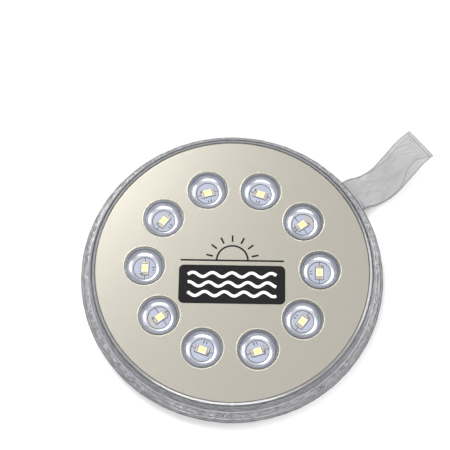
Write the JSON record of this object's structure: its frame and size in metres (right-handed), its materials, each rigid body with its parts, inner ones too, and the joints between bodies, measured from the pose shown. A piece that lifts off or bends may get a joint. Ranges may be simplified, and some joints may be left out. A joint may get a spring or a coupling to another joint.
{
  "type": "floating pool light",
  "caption": "Flat round solar light module sealed in a clear film drum that is blown up through a valve to float, with a pressed button and a loose end strap.",
  "frame": {"origin": "centre of the outer face of the solar-side film, which is the face the folded light rests on", "axes": "+Z out of the LED side, +X along the hanging strap, away from the light"},
  "size_m": [0.1656, 0.1286, 0.0126],
  "materials": {
    "film": "clear PVC film",
    "film_seam": "welded clear PVC film",
    "valve_vinyl": "thick clear vinyl",
    "grey_shell": "satin grey plastic",
    "orange_sheet": "satin orange printed sheet",
    "black_print": "black ink",
    "white_print": "white ink",
    "pale_print": "pale ink",
    "dark_marks": "bare board and dark ink",
    "champagne_plate": "satin champagne",
    "panel_board": "white board",
    "solar_cell": "dark blue silicon",
    "ribbon": "tinned ribbon",
    "glazing": "clear epoxy cover",
    "grey_button": "satin grey",
    "black_plastic": "matte black",
    "foam_pad": "adhesive foam",
    "battery_foil": "silver pouch foil",
    "green_board": "green board",
    "ivory_plastic": "ivory nylon",
    "red_lead": "red insulation",
    "black_lead": "black insulation",
    "white_board": "white solder mask",
    "screw_steel": "zinc plated",
    "inductor_grey": "dark grey ferrite",
    "tin_ends": "tinned ceramic",
    "phosphor": "pale yellow phosphor gel",
    "silvered_cup": "silvered bowl",
    "led_ceramic": "white package"
  },
  "bodies": {
    "module": {"base_film": "film", "lower_seam": "film_seam", "side_wall": "film", "valve_body": "valve_vinyl", "valve_flap": "valve_vinyl", "strap_root": "film_seam", "back_shell": "grey_shell", "solar_face_sheet": "orange_sheet", "reflector_plate": "champagne_plate", "solar_panel_base": "panel_board", "solar_cells_row_1": "solar_cell", "solar_cells_row_2": "solar_cell", "cell_ribbons": "ribbon", "panel_glazing": "glazing", "tact_switch": "black_plastic", "battery_pad": "foam_pad", "battery_cell": "battery_foil", "battery_guard_board": "green_board", "battery_plug": "ivory_plastic", "battery_socket": "ivory_plastic", "battery_lead_red": "red_lead", "battery_lead_black": "black_lead", "panel_lead_red": "red_lead", "panel_lead_black": "black_lead", "led_board": "white_board", "board_screws": "screw_steel", "driver_chip": "black_plastic", "charge_inductor": "inductor_grey", "small_parts": "tin_ends", "led_phosphors": "phosphor", "reflector_cup_01": "silvered_cup", "led_01": "led_ceramic", "reflector_cup_02": "silvered_cup", "led_02": "led_ceramic", "reflector_cup_03": "silvered_cup", "led_03": "led_ceramic", "reflector_cup_04": "silvered_cup", "led_04": "led_ceramic", "reflector_cup_05": "silvered_cup", "led_05": "led_ceramic", "reflector_cup_06": "silvered_cup", "led_06": "led_ceramic", "reflector_cup_07": "silvered_cup", "led_07": "led_ceramic", "reflector_cup_08": "silvered_cup", "led_08": "led_ceramic", "reflector_cup_09": "silvered_cup", "led_09": "led_ceramic", "reflector_cup_10": "silvered_cup", "led_10": "led_ceramic"},
    "top_cap": {"top_film": "film", "upper_seam": "film_seam"},
    "button": {"button": "grey_button", "switch_plunger": "black_plastic"},
    "plug": {"valve_plug": "valve_vinyl"},
    "strap": {"strap_upper_ply": "film", "strap_lower_ply": "film"}
  },
  "joints": [
    {"name": "inflate", "type": "slide", "parent": "module", "child": "top_cap", "axis": [0, 0, 1], "range_m": [0, 0.096], "deforming": ["side_wall"]},
    {"name": "button_press", "type": "slide", "parent": "module", "child": "button", "axis": [0, 0, 1], "range_m": [0, 0.0006], "stiffness_N_per_m": 2000},
    {"name": "plug_swing", "type": "hinge", "parent": "module", "child": "plug", "pos_m": [0.0493, -0.0071, 0.00028], "axis": [-1, 0, 0], "range_deg": [0, 150]},
    {"name": "strap_swing", "type": "hinge", "parent": "module", "child": "strap", "pos_m": [0.0651, 0, 0.00335], "axis": [0, -1, 0], "range_deg": [-80, 85]}
  ]
}
